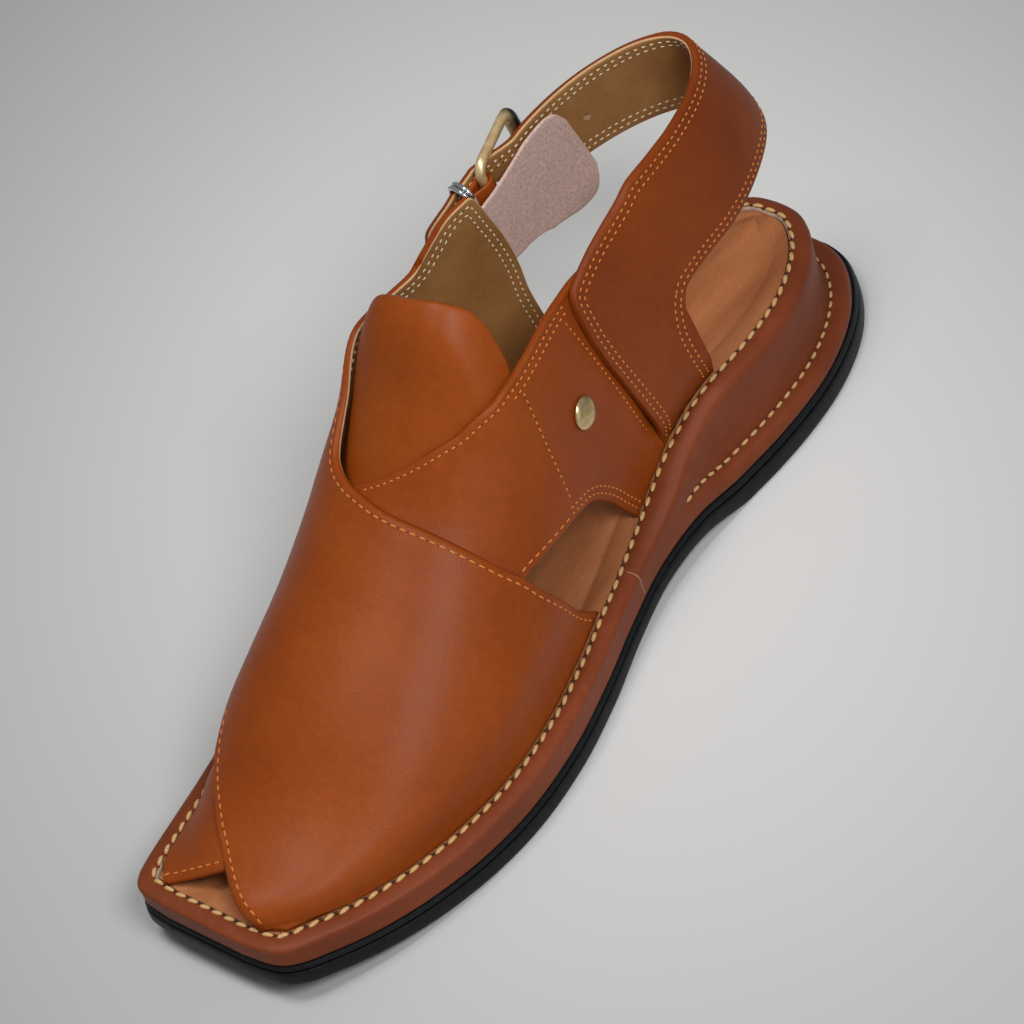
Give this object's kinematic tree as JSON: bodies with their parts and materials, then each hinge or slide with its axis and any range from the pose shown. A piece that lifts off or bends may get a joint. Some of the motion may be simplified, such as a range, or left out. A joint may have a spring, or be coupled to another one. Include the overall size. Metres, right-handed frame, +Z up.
{
  "type": "cross-strap sandal",
  "caption": "Open-heeled leather chappal: crossed vamp panels over a tongue, a buckled heel strap, and a low wedge platform on a thin rubber sole.",
  "frame": {"origin": "on the ground plane, under the middle of the shoe's length and width", "axes": "+Z up from the ground, -Y towards the toe, +X towards the wearer's inner side of this right shoe"},
  "size_m": [0.1029, 0.292, 0.1174],
  "materials": {
    "outsole": "satin black rubber",
    "midsole": "smooth tan leather wrapped over the platform",
    "insole": "matt light tan lining leather",
    "upper": "smooth tan leather, olive-tan lining",
    "tongue": "smooth orange-tan leather",
    "heel_strap": "smooth tan leather, olive-tan lining",
    "buckle_tab": "smooth tan leather",
    "buckle_guard": "unfinished suede, pinkish grey",
    "buckle_frame": "antique brass wire",
    "buckle_prong": "polished",
    "keeper_ring": "polished",
    "rivet_cap": "antique brass dome"
  },
  "bodies": {
    "root": {"outsole": "outsole", "midsole": "midsole", "insole": "insole", "upper": "upper", "tongue": "tongue", "heel_strap": "heel_strap", "buckle_tab": "buckle_tab", "buckle_guard": "buckle_guard", "buckle_frame": "buckle_frame", "buckle_prong": "buckle_prong", "keeper_ring": "keeper_ring", "rivet_cap": "rivet_cap"}
  },
  "joints": []
}
